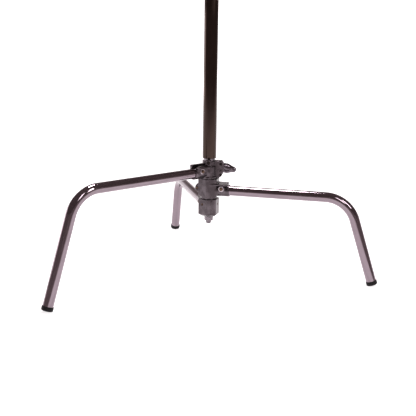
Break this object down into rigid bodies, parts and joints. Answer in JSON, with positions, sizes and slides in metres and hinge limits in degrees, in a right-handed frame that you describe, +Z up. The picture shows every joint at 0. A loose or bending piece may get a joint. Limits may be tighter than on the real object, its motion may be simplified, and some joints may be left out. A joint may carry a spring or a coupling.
{
  "type": "c stand",
  "caption": "Light stand with three bent folding legs that swivel round one post at staggered heights, a lift-off column and two telescopic risers ending in a mounting pin.",
  "frame": {"origin": "centre of the footprint on the floor, midway between the outermost edges of the foot caps; the post stands -25.9 mm along X and -54.0 mm along Y from it", "axes": "+Z up along the post, -Y towards the side with the front screw, +X towards the middle leg"},
  "size_m": [0.8042, 0.7656, 0.9449],
  "materials": {
    "cast_metal": "satin cast metal with a fine grain",
    "cast_handle": "satin cast metal, polished on the wings",
    "chrome_leg": "bright chrome plate",
    "dark_chrome": "smoked chrome plate",
    "chrome_riser": "bright chrome plate",
    "turned_steel": "turned and plated steel",
    "zinc_hardware": "bright zinc plate",
    "nut_steel": "plain plated steel",
    "copper_rivet": "copper-coloured rivet",
    "dark_steel": "blackened steel",
    "bronze": "sintered bronze",
    "nylon": "natural nylon",
    "foot_rubber": "matt black rubber"
  },
  "bodies": {
    "base": {"top_casting": "cast_metal", "king_post": "turned_steel", "upper_thrust_washer": "bronze", "lower_thrust_washer": "bronze", "pressure_spring": "dark_steel", "spring_seat": "zinc_hardware", "tension_nut": "turned_steel", "top_leg_tube": "chrome_leg", "top_leg_bolt": "copper_rivet", "top_leg_washers": "zinc_hardware", "top_leg_nut": "nut_steel", "top_foot_cap": "foot_rubber", "spigot_screw": "zinc_hardware", "ear_bolts": "dark_steel"},
    "middle_leg": {"middle_casting": "cast_metal", "middle_bushing": "bronze", "middle_leg_tube": "chrome_leg", "middle_leg_bolt": "copper_rivet", "middle_leg_washers": "zinc_hardware", "middle_leg_nut": "nut_steel", "middle_foot_cap": "foot_rubber", "stop_pin": "copper_rivet"},
    "bottom_leg": {"bottom_casting": "cast_metal", "bottom_bushing": "bronze", "bottom_leg_tube": "chrome_leg", "bottom_leg_bolt": "copper_rivet", "bottom_leg_washers": "zinc_hardware", "bottom_leg_nut": "nut_steel", "bottom_foot_cap": "foot_rubber", "bushing_screws": "copper_rivet"},
    "base_lock": {"base_handle": "cast_handle", "base_handle_screw": "zinc_hardware"},
    "column": {"column_tube": "dark_chrome", "column_spigot": "turned_steel", "spigot_pins": "zinc_hardware", "column_collar": "cast_metal", "column_collar_rivets": "dark_steel"},
    "column_lock": {"column_handle": "cast_handle", "column_handle_screw": "zinc_hardware"},
    "riser_1": {"riser_1_tube": "chrome_riser", "riser_1_bush": "nylon", "riser_1_collar": "cast_metal", "riser_1_collar_rivets": "dark_steel"},
    "riser_1_lock": {"riser_handle": "cast_handle", "riser_handle_screw": "zinc_hardware"},
    "riser_2": {"riser_2_tube": "chrome_riser", "riser_2_bush": "nylon", "baby_pin": "turned_steel", "pin_rivet": "zinc_hardware"}
  },
  "joints": [
    {"name": "middle_leg_swivel", "type": "hinge", "parent": "base", "child": "middle_leg", "pos_m": [-0.02595, -0.05396, 0.229], "axis": [0, 0, 1], "range_deg": [-122, 0]},
    {"name": "bottom_leg_swivel", "type": "hinge", "parent": "base", "child": "bottom_leg", "pos_m": [-0.02595, -0.05396, 0.18], "axis": [0, 0, 1], "range_deg": [0, 114]},
    {"name": "base_lock_turn", "type": "hinge", "parent": "base", "child": "base_lock", "pos_m": [0.00055, -0.04446, 0.275], "axis": [0, 1, 0], "range_deg": [0, 270]},
    {"name": "column_lift", "type": "slide", "parent": "base", "child": "column", "axis": [0, 0, 1], "range_m": [0, 0.045]},
    {"name": "column_lock_turn", "type": "hinge", "parent": "column", "child": "column_lock", "pos_m": [0.01005, -0.05396, 0.787], "axis": [1, 0, 0], "range_deg": [0, 270]},
    {"name": "riser_1_slide", "type": "slide", "parent": "column", "child": "riser_1", "axis": [0, 0, 1], "range_m": [0, 0.34]},
    {"name": "riser_1_lock_turn", "type": "hinge", "parent": "riser_1", "child": "riser_1_lock", "pos_m": [-0.05895, -0.05396, 0.8354], "axis": [-1, 0, 0], "range_deg": [0, 270]},
    {"name": "riser_2_slide", "type": "slide", "parent": "riser_1", "child": "riser_2", "axis": [0, 0, 1], "range_m": [0, 0.35]}
  ]
}
